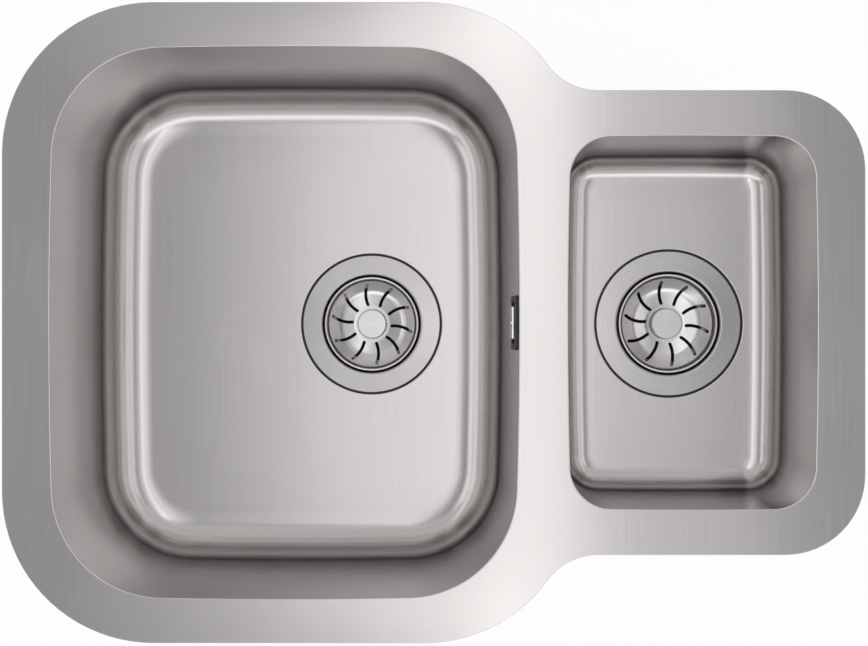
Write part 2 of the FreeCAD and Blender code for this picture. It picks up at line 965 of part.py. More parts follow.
def make_overflow_housing():
    """Chamber behind the wall, with a boss for the screw and a spigot for the hose."""
    flange = overflow_hole_radius + overflow_seal_clear + overflow_seal_width + housing_flange_margin
    inside = housing_back + housing_wall
    chamber = spun(
        [
            (overflow_hole_radius, seal_back, 0),
            (flange, seal_back, housing_flange_round),
            (flange, seal_back - housing_flange, housing_flange_round),
            (housing_radius, seal_back - housing_flange, housing_neck_round),
            (housing_radius, housing_back, housing_back_round),
            (0, housing_back, 0),
            (0, inside, 0),
            (overflow_hole_radius, inside, housing_inner_round),
        ]
    )
    boss = rod(overflow_boss_radius, housing_back + housing_boss_sink, overflow_boss_top)
    boss = boss.cut(rod(overflow_insert_radius, inside + housing_boss_sink, overflow_boss_top + past))
    shell = overflow_place(joined([chamber, boss]))
    x, top = hose_line()
    start = top + housing_radius * housing_stop_lap
    stop = Part.makeCylinder(hose_crest - housing_stop_step, start - top, Vector(x, 0, top))
    end = top - hose_cuff + spigot_short
    spigot = Part.makeCylinder(spigot_radius, start - end, Vector(x, 0, end))
    room = overflow_place(rod(overflow_hole_radius, inside, seal_back))
    bore_radius = min(spigot_radius - spigot_wall, housing_depth / 2 - housing_wall)
    bore = Part.makeCylinder(bore_radius, -overflow_drop - end + past, Vector(x, 0, end - past))
    bore = bore.cut(overflow_place(rod(overflow_boss_radius, housing_back, seal_back)))
    outlet = joined([stop, spigot]).cut(room)
    return joined([shell, outlet]).cut(bore).removeSplitter()


def hose_path():
    """Straight drop, one bend as wide as there is room for, and a straight run to
    the main waste. Returns the start, the bend's centre and radius and the end."""
    x, top = hose_line()
    waste_x = -bridge / 2 - main_waste_from_edge
    end_x = waste_x + body_radius + body_wall + hose_stop
    low = -main_depth - hose_drop
    radius = x - end_x - hose_cuff
    return x, top, radius, end_x, low


def hose_frame(distance):
    """Centre and direction at a distance along the hose."""
    x, top, radius, end_x, low = hose_path()
    drop = top - (low + radius)
    bend = radius * math.pi / 2
    if distance <= drop:
        return Vector(x, 0, top - distance), Vector(0, 0, -1)
    if distance <= drop + bend:
        angle = (distance - drop) / radius
        centre = Vector(x - radius, 0, low + radius)
        point = centre + Vector(math.cos(angle), 0, -math.sin(angle)) * radius
        return point, Vector(-math.sin(angle), 0, -math.cos(angle))
    along = distance - drop - bend
    return Vector(x - radius - along, 0, low), Vector(-1, 0, 0)


def hose_length():
    """Length along the hose's middle."""
    x, top, radius, end_x, low = hose_path()
    return top - (low + radius) + radius * math.pi / 2 + (x - radius - end_x)


def hose_ring(distance, radius):
    """Circle round the hose, started on the same side all the way."""
    point, direction = hose_frame(distance)
    circle = Part.Circle(Vector(0, 0, 0), up, radius)
    wire = Part.Wire([circle.toShape()])
    side = Vector(0, 1, 0)
    wire.Placement = FreeCAD.Placement(
        point, FreeCAD.Rotation(side, direction.cross(side), direction, "XYZ")
    )
    return wire


def make_hose():
    """Ribbed hose with plain cuffs and an open bore."""
    length = hose_length()
    ribbed = length - 2 * hose_cuff
    count = max(int(round(ribbed / hose_pitch)), 1)
    pitch = ribbed / count
    rings = [hose_ring(0, hose_cuff_radius), hose_ring(hose_cuff - hose_cuff_step, hose_cuff_radius)]
    for i in range(count):
        start = hose_cuff + i * pitch
        rings.append(hose_ring(start + pitch * rib_foot, hose_valley))
        rings.append(hose_ring(start + pitch * rib_top, hose_crest))
        rings.append(hose_ring(start + pitch * (1 - rib_top), hose_crest))
        rings.append(hose_ring(start + pitch * (1 - rib_foot), hose_valley))
    rings.append(hose_ring(length - hose_cuff + hose_cuff_step, hose_cuff_radius))
    rings.append(hose_ring(length, hose_cuff_radius))
    outside = Part.makeLoft(rings, True, True)
    x, top, radius, end_x, low = hose_path()
    turn_x = x - radius
    turn_z = low + radius
    drop = Part.makeCylinder(hose_bore, top - turn_z + past, Vector(x, 0, turn_z))
    disc = Part.Face(Part.Wire([Part.Circle(Vector(x, 0, turn_z), up, hose_bore).toShape()]))
    bend = disc.revolve(Vector(turn_x, 0, turn_z), Vector(0, 1, 0), 90)
    run = Part.makeCylinder(hose_bore, turn_x - end_x + past, Vector(turn_x, 0, low), Vector(-1, 0, 0))
    print("hose length", round(length, 1), "bend radius", round(radius, 1), "ribs", count)
    return outside.cut(drop).cut(bend).cut(run)


def make_hose_clip():
    """Worm-drive band about Z, with its screw housing beside it."""
    inner = hose_cuff_radius + clip_fit
    outer = inner + clip_band
    band = tube(outer, inner, -clip_width / 2, clip_width / 2)
    height = clip_width - 2 * clip_box_margin
    housing = Part.makeBox(clip_box_height, clip_box_length, height)
    housing.translate(Vector(outer - clip_band / 2, -clip_box_length / 2, -height / 2))
    screw_at = Vector(outer + clip_screw_out, clip_screw_start, 0)
    screw = Part.makeCylinder(clip_screw_radius, clip_screw_length, screw_at, Vector(0, 1, 0))
    return joined([band, housing, screw])


def hose_clip_at(distance, turn):
    """Hose clip round the cuff at a distance along the hose."""
    clip = make_hose_clip()
    clip.rotate(origin, up, turn)
    point, direction = hose_frame(distance)
    side = Vector(0, 1, 0)
    clip.Placement = FreeCAD.Placement(
        point, FreeCAD.Rotation(side, direction.cross(side), direction, "XYZ")
    ).multiply(clip.Placement)
    return clip


def rounded_pad(width, length, x, y, high):
    """Flat pad with round corners."""
    pad = rounded_block(width, length, pad_round, high - pad_thickness, high)
    pad.translate(Vector(x, y, 0))
    return pad


def make_pads(main_x, half_x, waste_x):
    """Pads under the floors, clear of the wastes."""
    clear = flange_radius + recess_gap + recess_round + 2 * sheet
    main_inset = floor_inset(main_depth, floor_round(main_depth, main_floor_radius, main_corner))
    left = main_x - main_width / 2 + main_inset + pad_margin / 2
    right = waste_x - clear - pad_margin
    main_pad = rounded_pad(
        right - left,
        main_length - 2 * main_inset - 4 * pad_margin,
        (left + right) / 2,
        0,
        -main_depth - sheet,
    )
    half_inset = floor_inset(half_depth, floor_round(half_depth, half_floor_radius, half_corner))
    near = clear + pad_margin / 2
    far = half_length / 2 - half_inset - pad_margin / 2
    pads = []
    for side in (-1, 1):
        pads.append(
            rounded_pad(
                half_width - 2 * half_inset - 2 * pad_margin,
                far - near,
                half_x,
                side * (near + far) / 2,
                -half_depth - sheet,
            )
        )
    return main_pad, Part.makeCompound(pads)


def build():
    """Every piece of the sink, by name."""
    main_x = bowl_places()[0][0]
    half_x = bowl_places()[1][0]
    waste_x = -bridge / 2 - main_waste_from_edge
    parts = {"rim_flange": make_rim()}
    main_bowl = make_bowl(
        main_width, main_length, main_depth, main_corner, main_floor_radius, waste_x - main_x
    )
    main_bowl.translate(Vector(main_x, 0, 0))
    hole = overflow_place(rod(overflow_hole_radius, -3 * sheet, 3 * sheet))
    parts["main_bowl"] = main_bowl.cut(hole)
    half_bowl = make_bowl(half_width, half_length, half_depth, half_corner, half_floor_radius, 0)
    half_bowl.translate(Vector(half_x, 0, 0))
    parts["half_bowl"] = half_bowl
    parts["main_sound_pad"], parts["half_sound_pad"] = make_pads(main_x, half_x, waste_x)
    for prefix, x, depth in (("main", waste_x, main_depth), ("half", half_x, half_depth)):
        for name, shape in waste_parts(prefix == "main").items():
            shape.translate(Vector(x, 0, -depth))
            parts[prefix + "_" + name] = shape
    parts["overflow_frame"] = overflow_place(make_overflow_frame())
    parts["overflow_plate"] = overflow_place(make_overflow_plate())
    parts["overflow_screw"] = overflow_place(make_overflow_screw())
    parts["overflow_seal"] = overflow_place(make_overflow_seal())
    parts["overflow_insert"] = overflow_place(make_overflow_insert())
    parts["overflow_housing"] = make_overflow_housing()
    parts["overflow_hose"] = make_hose()
    parts["upper_hose_clip"] = hose_clip_at(hose_cuff / 2, 0)
    parts["lower_hose_clip"] = hose_clip_at(hose_length() - hose_cuff / 2, 180)
    return parts


os.makedirs("parts", exist_ok=True)
for name, shape in build().items():
    box = shape.BoundBox
    print(
        name,
        "valid" if shape.isValid() else "INVALID",
        "solids", len(shape.Solids),
        "volume", round(shape.Volume, 1),
        "z", round(box.ZMin, 2), round(box.ZMax, 2),
        "x", round(box.XMin, 2), round(box.XMax, 2),
    )
    shape.exportStep("parts/" + name + ".step")
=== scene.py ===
import math

import bpy
from mathutils import Matrix, Vector


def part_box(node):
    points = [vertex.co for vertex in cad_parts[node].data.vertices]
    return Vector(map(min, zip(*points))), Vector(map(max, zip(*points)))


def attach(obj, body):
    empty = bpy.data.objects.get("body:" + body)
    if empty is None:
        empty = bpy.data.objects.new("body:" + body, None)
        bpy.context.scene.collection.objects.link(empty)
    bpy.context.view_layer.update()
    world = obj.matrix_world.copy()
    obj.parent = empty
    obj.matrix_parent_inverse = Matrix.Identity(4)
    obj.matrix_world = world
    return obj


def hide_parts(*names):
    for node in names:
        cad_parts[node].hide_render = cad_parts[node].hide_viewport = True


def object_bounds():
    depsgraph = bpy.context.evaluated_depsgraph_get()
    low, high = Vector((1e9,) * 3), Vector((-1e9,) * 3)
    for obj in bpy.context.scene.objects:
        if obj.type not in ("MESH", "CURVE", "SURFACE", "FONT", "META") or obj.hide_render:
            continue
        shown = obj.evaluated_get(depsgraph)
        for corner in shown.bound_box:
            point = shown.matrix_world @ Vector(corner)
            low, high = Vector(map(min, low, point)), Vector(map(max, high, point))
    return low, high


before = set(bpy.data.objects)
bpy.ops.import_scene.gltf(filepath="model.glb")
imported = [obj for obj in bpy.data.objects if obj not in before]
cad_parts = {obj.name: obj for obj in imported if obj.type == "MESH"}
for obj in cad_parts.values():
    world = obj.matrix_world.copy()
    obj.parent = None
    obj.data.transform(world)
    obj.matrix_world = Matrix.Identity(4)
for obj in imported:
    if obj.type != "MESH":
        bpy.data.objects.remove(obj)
cad_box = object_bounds()


# Rim flange: the flat sheet that lies under the worktop, stainless steel cut to outline.
# It is brushed to a satin finish in one direction, and its two holes take the bowls.
brush_fine = 1500
brush_long = 9
noise_low = 0.3
noise_high = 0.7
steel_edge_tint = (0.73, 0.73, 0.73, 1)


def add_node(tree, kind, values=(), **settings):
    """A node with its settings, its sockets' values and the outputs that feed them."""
    made = tree.nodes.new(kind)
    for name, value in settings.items():
        setattr(made, name, value)
    for socket, value in dict(values).items():
        if isinstance(value, bpy.types.NodeSocket):
            tree.links.new(value, made.inputs[socket])
        else:
            made.inputs[socket].default_value = value
    return made


def new_finish(name):
    """A material, its node tree, its shader and the place on the piece."""
    finish = bpy.data.materials.new(name)
    finish.use_nodes = True
    tree = finish.node_tree
    place = add_node(tree, "ShaderNodeTexCoord").outputs["Object"]
    return finish, tree, tree.nodes["Principled BSDF"], place


def spread(tree, value, low, high, start=0.0, end=1.0):
    """A value brought from one range to another."""
    return add_node(
        tree,
        "ShaderNodeMapRange",
        {"Value": value, "From Min": start, "From Max": end, "To Min": low, "To Max": high},
    ).outputs["Result"]


def blended(tree, first, second, share):
    """One value or the other, by the second one's share."""
    return add_node(tree, "ShaderNodeMix", {0: share, 2: first, 3: second}, data_type="FLOAT").outputs[0]


def noise(tree, place, scale, detail, roughness=0.5, distortion=0.0):
    """Uneven grey, finer at a larger scale."""
    values = {"Scale": scale, "Detail": detail, "Roughness": roughness, "Distortion": distortion}
    return add_node(tree, "ShaderNodeTexNoise", {"Vector": place, **values}).outputs["Fac"]


def grained(tree, place, stretch, detail=3.0):
    """Noise drawn out along an axis, as a brush or a turning tool leaves it."""
    scaled = add_node(tree, "ShaderNodeMapping", {"Vector": place, "Scale": stretch}).outputs["Vector"]
    return noise(tree, scaled, scale=1.0, detail=detail, roughness=0.6)


def toned(tree, first, second, share):
    """Two noises, each stretched to run from 0 to 1, blended by the second one's share."""
    first = spread(tree, first, 0.0, 1.0, noise_low, noise_high)
    second = spread(tree, second, 0.0, 1.0, noise_low, noise_high)
    return blended(tree, first, second, share)


def coloured(tree, shader, tone, dark, light, roughness, play):
    """A colour between two, and a roughness with some play, by a tone from 0 to 1."""
    colour = add_node(tree, "ShaderNodeMix", {0: tone, 6: (*dark, 1), 7: (*light, 1)}, data_type="RGBA")
    tree.links.new(colour.outputs[2], shader.inputs["Base Color"])
    dull = spread(tree, tone, roughness - play, roughness + play)
    tree.links.new(dull, shader.inputs["Roughness"])


def bumped(tree, shader, height, strength, depth):
    """Surface relief from a height, up to a depth in metres."""
    bump = add_node(tree, "ShaderNodeBump", {"Height": height, "Strength": strength, "Distance": depth})
    tree.links.new(bump.outputs["Normal"], shader.inputs["Normal"])


def bare_metal(shader):
    """Makes a shader metal, with the duller edge of brushed metal at a glancing angle."""
    shader.inputs["Metallic"].default_value = 1.0
    shader.inputs["Specular Tint"].default_value = steel_edge_tint


def brushed_steel(name, dark, light, roughness):
    """Satin steel: brush lines along Y, and along X on the walls that face Y."""
    finish, tree, shader, place = new_finish(name)
    along_y = grained(tree, place, (brush_fine, brush_long, brush_fine))
    along_x = grained(tree, place, (brush_long, brush_fine, brush_fine))
    facing = add_node(tree, "ShaderNodeNewGeometry").outputs["Normal"]
    facing_y = add_node(tree, "ShaderNodeSeparateXYZ", {0: facing}).outputs["Y"]
    end_wall = add_node(tree, "ShaderNodeMath", {0: facing_y}, operation="ABSOLUTE").outputs[0]
    lines = blended(tree, along_y, along_x, spread(tree, end_wall, 0.0, 1.0, start=0.55, end=0.85))
    cloud = noise(tree, place, scale=7.0, detail=2.0)
    tone = toned(tree, lines, cloud, share=0.35)
    coloured(tree, shader, tone, dark, light, roughness, play=0.03)
    bare_metal(shader)
    bumped(tree, shader, lines, strength=0.04, depth=0.00004)
    return finish


def dress(node, finish):
    """Gives a CAD node its finish."""
    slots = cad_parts[node].data.materials
    slots.clear()
    slots.append(finish)


sheet_steel = brushed_steel("sheet_steel", (0.565, 0.546, 0.54), (0.615, 0.595, 0.59), 0.20)
dress("rim_flange", sheet_steel)


# Bowls: two trays, each deep-drawn from one sheet of the same steel, with a turned-over lip,
# drafted and slightly bowed walls, a round floor edge and a sunk seat for the waste.
# They are welded into the flange and ground flush, so the lip runs into it.
sheet = 0.001
wall_draft = math.radians(2.4)
side_bow = 4.2
lip_round = 0.0008
lip_reach = 0.0044
main_corner = 0.080
main_floor_round = 0.035
half_corner = 0.0305
half_floor_round = 0.0218
seat_depth = 0.003
seat_radius = 0.059
seat_hole = 0.045
seat_foot_round = 0.0006
seat_edge_round = 0.0008
seat_edge = 0.0013
overflow_hole_radius = 0.0175
overflow_cut = 0.03
corner_steps = 26
side_steps = 8
weld_gap = 0.000002
blank_weld_gap = 0.00001
level_play = 0.00002


def bent_line(points, turn, tail=0.0005):
    """A section of (across, height, round) points, its corners drawn as arcs in steps of a few degrees."""
    line = [Vector(points[0][:2])]
    for before, here, after in zip(points, points[1:], points[2:]):
        corner = Vector(here[:2])
        back = (Vector(before[:2]) - corner).normalized()
        ahead = (Vector(after[:2]) - corner).normalized()
        half = back.angle(ahead) / 2
        if here[2] == 0:
            line.append(corner)
            continue
        reach = here[2] / math.tan(half)
        centre = corner + (back + ahead).normalized() * here[2] / math.sin(half)
        arm = corner + back * reach - centre
        end = corner + ahead * reach - centre
        sweep = math.atan2(arm.cross(end), arm.dot(end))
        steps = max(2, math.ceil(abs(math.degrees(sweep)) / turn))
        line.append(corner + back * (reach + tail))
        for step in range(steps + 1):
            line.append(centre + Matrix.Rotation(sweep * step / steps, 2) @ arm)
        line.append(corner + ahead * (reach + tail))
    line.append(Vector(points[-1][:2]))
    return line


def begin(name, place):
    """A new piece that is one point, selected, in edit mode."""
    bpy.ops.object.select_all(action="DESELECT")
    bpy.ops.mesh.primitive_plane_add(size=0.01)
    piece = bpy.context.object
    piece.name = name
    bpy.ops.object.mode_set(mode="EDIT")
    bpy.ops.mesh.select_mode(type="VERT")
    bpy.ops.mesh.select_all(action="SELECT")
    bpy.ops.mesh.merge(type="CENTER")
    bpy.ops.transform.translate(value=place)
    return piece


def draw(line):
    """Draws a section of (across, height) points from the selected point, in edit mode."""
    for here, after in zip(line, line[1:]):
        step = (after[0] - here[0], 0, after[1] - here[1])
        bpy.ops.mesh.extrude_region_move(TRANSFORM_OT_translate={"value": step})
    bpy.ops.mesh.select_all(action="SELECT")


def weld_outwards():
    """Merges the doubles of the mesh in edit mode and turns its faces outwards."""
    bpy.ops.mesh.select_all(action="SELECT")
    bpy.ops.mesh.remove_doubles(threshold=weld_gap)
    bpy.ops.mesh.normals_make_consistent(inside=False)
    bpy.ops.object.mode_set(mode="OBJECT")


def turned_sheet(name, axis, line, steps):
    """A section of (radius, height) points spun round an upright axis."""
    piece = begin(name, (axis.x + line[0].x, axis.y, axis.z + line[0].y))
    draw(line)
    bpy.ops.mesh.spin(steps=steps, angle=-math.tau, center=axis, axis=(0, 0, 1))
    weld_outwards()
    return piece


def choose(piece):
    """Selects a piece alone and makes it the active one."""
    bpy.ops.object.select_all(action="DESELECT")
    piece.select_set(True)
    bpy.context.view_layer.objects.active = piece


def finish_with(piece, kind, **settings):
    """Adds a modifier and applies it."""
    choose(piece)
    made = piece.modifiers.new(kind.lower(), kind)
    for name, value in settings.items():
        setattr(made, name, value)
    bpy.ops.object.modifier_apply(modifier=made.name)


def cut_away(piece, cutter):
    """Takes a cutter's form out of a piece."""
    finish_with(piece, "BOOLEAN", object=cutter, operation="DIFFERENCE", solver="EXACT")
    bpy.data.objects.remove(cutter)


def face_up(piece):
    """Turns an open sheet so that its level faces look up."""
    bpy.ops.object.mode_set(mode="OBJECT")
    if sum(face.normal.z * face.area for face in piece.data.polygons) < 0:
        bpy.ops.object.mode_set(mode="EDIT")
        bpy.ops.mesh.select_all(action="SELECT")
        bpy.ops.mesh.flip_normals()
        bpy.ops.object.mode_set(mode="OBJECT")


def fit(piece, node, body, finish, angle=30):
    """Puts a finished piece in a node's place, with its finish, smooth sides, body and slot."""
    piece.data.materials.clear()
    piece.data.materials.append(finish)
    choose(piece)
    bpy.ops.object.shade_smooth_by_angle(angle=math.radians(angle))
    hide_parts(node)
    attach(piece, body)


def bowed_blank(name, low, high, corner):
    """A flat blank with round corners and slightly bowed sides, seen from above."""
    middle = (low + high) / 2
    half_x = (high.x - low.x) / 2
    half_y = (high.y - low.y) / 2
    hub_x = half_x - corner
    hub_y = half_y - corner
    # The corner's centre settles where its arc touches both of the bowed sides.
    for _ in range(40):
        hub_x -= math.hypot(hub_x - half_x + side_bow, hub_y) - side_bow + corner
        hub_y -= math.hypot(hub_x, hub_y - half_y + side_bow) - side_bow + corner
    rise = math.atan2(hub_y, hub_x - half_x + side_bow)
    lean = math.atan2(hub_x, hub_y - half_y + side_bow)
    bend = math.pi / 2 - rise - lean
    far_x = half_x - side_bow
    far_y = half_y - side_bow
    arcs = [
        (far_x, 0, rise, side_steps // 2),
        (hub_x, hub_y, bend, corner_steps),
        (0, far_y, 2 * lean, side_steps),
        (-hub_x, hub_y, bend, corner_steps),
        (-far_x, 0, 2 * rise, side_steps),
        (-hub_x, -hub_y, bend, corner_steps),
        (0, -far_y, 2 * lean, side_steps),
        (hub_x, -hub_y, bend, corner_steps),
        (far_x, 0, rise, side_steps // 2),
    ]
    piece = begin(name, (middle.x + half_x, middle.y, 0))
    for x, y, angle, steps in arcs:
        bpy.ops.mesh.spin(
            steps=steps, angle=-angle, center=(middle.x + x, middle.y + y, 0), axis=(0, 0, 1)
        )
    bpy.ops.mesh.select_all(action="SELECT")
    bpy.ops.mesh.remove_doubles(threshold=blank_weld_gap)
    bpy.ops.mesh.edge_face_add()
    face_up(piece)
    return piece


def drawn_bowl(node, waste, corner, floor_round):
    """A bowl pressed from its blank, with the waste's seat let into its floor."""
    low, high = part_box(node)
    waste_low, waste_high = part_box(waste)
    depth = -low.z - seat_depth - sheet
    inset = depth * math.tan(wall_draft)
    # The last point only gives the floor's direction: the floor is filled in round the seat.
    wall = bent_line(
        [
            (-lip_reach, 0, 0),
            (0, 0, lip_round),
            (inset, -depth, floor_round),
            (inset + floor_round * 1.2, -depth, 0),
        ],
        turn=4,
    )
    piece = bowed_blank(node + "_drawn", low, high, corner + lip_reach)
    bpy.ops.object.mode_set(mode="EDIT")
    bpy.ops.mesh.select_mode(type="FACE")
    bpy.ops.mesh.select_all(action="SELECT")
    for here, after in zip(wall[:-1], wall[1:-1]):
        bpy.ops.mesh.inset(
            thickness=after.x - here.x, depth=after.y - here.y, use_even_offset=True, use_boundary=True
        )
    bpy.ops.mesh.delete(type="ONLY_FACE")
    bpy.ops.object.mode_set(mode="OBJECT")
    axis = (waste_low + waste_high) / 2
    axis.z = -depth
    seat_line = bent_line(
        [
            (seat_hole, -seat_depth, 0),
            (seat_radius, -seat_depth, seat_foot_round),
            (seat_radius, 0, seat_edge_round),
            (seat_radius + seat_edge, 0, 0),
        ],
        turn=12,
        tail=0.0003,
    )
    seat = turned_sheet(node + "_seat", axis, seat_line, 4 * (corner_steps + side_steps))
    choose(piece)
    seat.select_set(True)
    bpy.ops.object.join()
    bpy.ops.object.mode_set(mode="EDIT")
    bpy.ops.mesh.select_mode(type="EDGE")
    bpy.ops.mesh.select_non_manifold(
        extend=False, use_wire=False, use_multi_face=False, use_non_contiguous=False, use_verts=False
    )
    bpy.ops.object.mode_set(mode="OBJECT")
    points = piece.data.vertices
    for side in piece.data.edges:
        on_floor = all(abs(points[end].co.z + depth) < level_play for end in side.vertices)
        side.select = side.select and on_floor
    bpy.ops.object.mode_set(mode="EDIT")
    bpy.ops.mesh.fill(use_beauty=True)
    weld_outwards()
    face_up(piece)
    finish_with(piece, "SOLIDIFY", thickness=sheet, offset=-1.0, use_quality_normals=True)
    return piece


main_bowl = drawn_bowl("main_bowl", "main_waste_dish", main_corner, main_floor_round)
half_bowl = drawn_bowl("half_bowl", "half_waste_dish", half_corner, half_floor_round)
mouth_low, mouth_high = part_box("overflow_frame")
bpy.ops.object.select_all(action="DESELECT")
bpy.ops.mesh.primitive_cylinder_add(
    vertices=96,
    radius=overflow_hole_radius,
    depth=overflow_cut,
    location=(mouth_low + mouth_high) / 2,
    rotation=(0, math.pi / 2 - wall_draft, 0),
)
cut_away(main_bowl, bpy.context.object)
fit(main_bowl, "main_bowl", "sink", sheet_steel)
fit(half_bowl, "half_bowl", "sink", sheet_steel)


# Sound pads: sheets of bitumen felt stuck under the floors, which dull the ring of water.
# They are stamped out with round corners, an embossed field and a plain border.
pad_round = 0.008
pad_border = 0.005
pad_edge = 0.0003
emboss = 0.0004
diamonds_per_metre = 125


def bitumen(name):
    """Dull black felt with a stamped diamond relief and a dusty bloom."""
    finish, tree, shader, place = new_finish(name)
    slanted = add_node(
        tree,
        "ShaderNodeMapping",
        {"Vector": place, "Rotation": (0, 0, math.pi / 4), "Scale": (diamonds_per_metre,) * 3},
    ).outputs["Vector"]
    cell = add_node(
        tree,
        "ShaderNodeTexVoronoi",
        {"Vector": slanted, "Scale": 1.0, "Randomness": 0.0},
        distance="CHEBYCHEV",
    ).outputs["Distance"]
    fibre = noise(tree, place, scale=900.0, detail=4.0)
    dust = noise(tree, place, scale=45.0, detail=5.0)
    tone = toned(tree, dust, fibre, share=0.5)
    coloured(tree, shader, tone, (0.028, 0.028, 0.030), (0.075, 0.075, 0.078), 0.74, play=0.12)
    relief = blended(tree, spread(tree, cell, 1.0, 0.0, start=0.36, end=0.5), fibre, share=0.25)
    bumped(tree, shader, relief, strength=0.7, depth=0.0006)
    return finish


def pick_level(piece, height):
    """Selects the faces at a height, in edit mode."""
    bpy.ops.object.mode_set(mode="OBJECT")
    for part in (*piece.data.vertices, *piece.data.edges, *piece.data.polygons):
        part.select = False
    for face in piece.data.polygons:
        face.select = abs(face.center.z - height) < level_play
    bpy.ops.object.mode_set(mode="EDIT")
    bpy.ops.mesh.select_mode(type="FACE")


def stamped_pad(name, low, high):
    """A flat pad with round corners whose lower face is embossed."""
    bpy.ops.object.select_all(action="DESELECT")
    bpy.ops.mesh.primitive_plane_add(
        size=1.0, location=((low.x + high.x) / 2, (low.y + high.y) / 2, high.z)
    )
    piece = bpy.context.object
    piece.name = name
    piece.scale = (high.x - low.x, high.y - low.y, 1)
    bpy.ops.object.transform_apply(location=True, rotation=True, scale=True)
    bpy.ops.object.mode_set(mode="EDIT")
    bpy.ops.mesh.select_all(action="SELECT")
    bpy.ops.mesh.bevel(offset=pad_round, segments=8, affect="VERTICES")
    bpy.ops.mesh.select_all(action="SELECT")
    bpy.ops.mesh.extrude_region_move(TRANSFORM_OT_translate={"value": (0, 0, low.z - high.z + emboss)})
    pick_level(piece, low.z + emboss)
    bpy.ops.mesh.inset(thickness=pad_border)
    bpy.ops.mesh.inset(thickness=emboss, depth=emboss)
    bpy.ops.mesh.select_all(action="SELECT")
    bpy.ops.mesh.normals_make_consistent(inside=False)
    bpy.ops.object.mode_set(mode="OBJECT")
    finish_with(
        piece, "BEVEL", width=pad_edge, segments=2, limit_method="ANGLE", angle_limit=math.radians(50)
    )
    return piece


pad_felt = bitumen("pad")
main_low, main_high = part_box("main_sound_pad")
half_low, half_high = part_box("half_sound_pad")
inner_edge = min(abs(point.co.y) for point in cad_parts["half_sound_pad"].data.vertices)
main_pad = stamped_pad("main_pad", main_low, main_high)
back_pad = stamped_pad("half_pad_back", Vector((half_low.x, inner_edge, half_low.z)), half_high)
front_pad = stamped_pad("half_pad_front", half_low, Vector((half_high.x, -inner_edge, half_high.z)))
fit(main_pad, "main_sound_pad", "sink", pad_felt, angle=40)
fit(back_pad, "half_sound_pad", "sink", pad_felt, angle=40)
fit(front_pad, "half_sound_pad", "sink", pad_felt, angle=40)


# Waste dishes: pressed from bright steel sheet, one for each bowl's seat. The rim laps the
# seat, and the water leaves by eight holes round a sunk hub.
# A hollow screw through the hub clamps dish and bowl to the plastic body below.
dish_sheet = 0.001
dish_bend = 0.0006
dish_rim = 0.0575
dish_rim_top = -0.0012
dish_rim_round = 0.0004
dish_under = -0.002
dish_mouth = 0.0411
dish_mouth_top = -0.0008
dish_mouth_foot = -0.005
dish_mouth_round = 0.0018
dish_well = 0.0423
dish_well_top = -0.006
dish_well_round = 0.010
dish_floor = -0.038
dish_hub = 0.0115
dish_hub_floor = -0.043
screw_hole = 0.0064
drain_holes = 8
drain_hole_radius = 0.0042
drain_hole_ring = 0.0185
ring_fine = 2600
turn_steps = 144
waste_axis = {}
for row in ("main", "half"):
    low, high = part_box(row + "_waste_dish")
    floor_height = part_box(row + "_bowl")[0].z + seat_depth + sheet
    waste_axis[row] = Vector(((low.x + high.x) / 2, 0, floor_height))
axis = waste_axis["main"]
to_half = waste_axis["half"] - axis


def spun_steel(name, x, dark, light, roughness):
    """Bright steel with fine rings round an upright axis at that X."""
    finish, tree, shader, place = new_finish(name)
    moved = add_node(tree, "ShaderNodeMapping", {"Vector": place, "Location": (-x, 0, 0)}).outputs["Vector"]
    flat = add_node(
        tree, "ShaderNodeVectorMath", {0: moved, 1: (1, 1, 0)}, operation="MULTIPLY"
    ).outputs["Vector"]
    radius = add_node(tree, "ShaderNodeVectorMath", {0: flat}, operation="LENGTH").outputs["Value"]
    height = add_node(tree, "ShaderNodeSeparateXYZ", {0: moved}).outputs["Z"]
    along = add_node(tree, "ShaderNodeCombineXYZ", {0: radius, 2: height}).outputs["Vector"]
    rings = grained(tree, along, (ring_fine, 1, ring_fine), detail=2.0)
    cloud = noise(tree, place, scale=40.0, detail=2.0)
    tone = toned(tree, rings, cloud, share=0.35)
    coloured(tree, shader, tone, dark, light, roughness, play=0.03)
    bare_metal(shader)
    shader.inputs["Anisotropic"].default_value = 0.7
    around = add_node(tree, "ShaderNodeTangent", direction_type="RADIAL", axis="Z").outputs["Tangent"]
    tree.links.new(around, shader.inputs["Tangent"])
    bumped(tree, shader, rings, strength=0.1, depth=0.00003)
    return finish


def turned(name, points):
    """A solid turned round the main waste's axis, from its section's rounded corners."""
    line = bent_line([*points, points[0]], turn=12, tail=0.0001)
    return turned_sheet(name, axis, line, turn_steps)


def ring_of_cutters(cutter, count):
    """Repeats a cutter round the main waste's axis."""
    choose(cutter)
    bpy.ops.object.mode_set(mode="EDIT")
    bpy.ops.mesh.select_all(action="SELECT")
    bpy.ops.mesh.spin(
        steps=count - 1, angle=-math.tau * (count - 1) / count, dupli=True, center=axis, axis=(0, 0, 1)
    )
    bpy.ops.object.mode_set(mode="OBJECT")
    return cutter


def in_both_wastes(piece):
    """A piece of the main waste, and then its copy in the half bowl's waste, with a mesh of its own."""
    yield "main", piece
    choose(piece)
    bpy.ops.object.duplicate(linked=False)
    twin = bpy.context.object
    twin.name = piece.name.replace("main", "half")
    bpy.ops.transform.translate(value=to_half)
    bpy.ops.object.transform_apply(location=True, rotation=False, scale=False)
    yield "half", twin


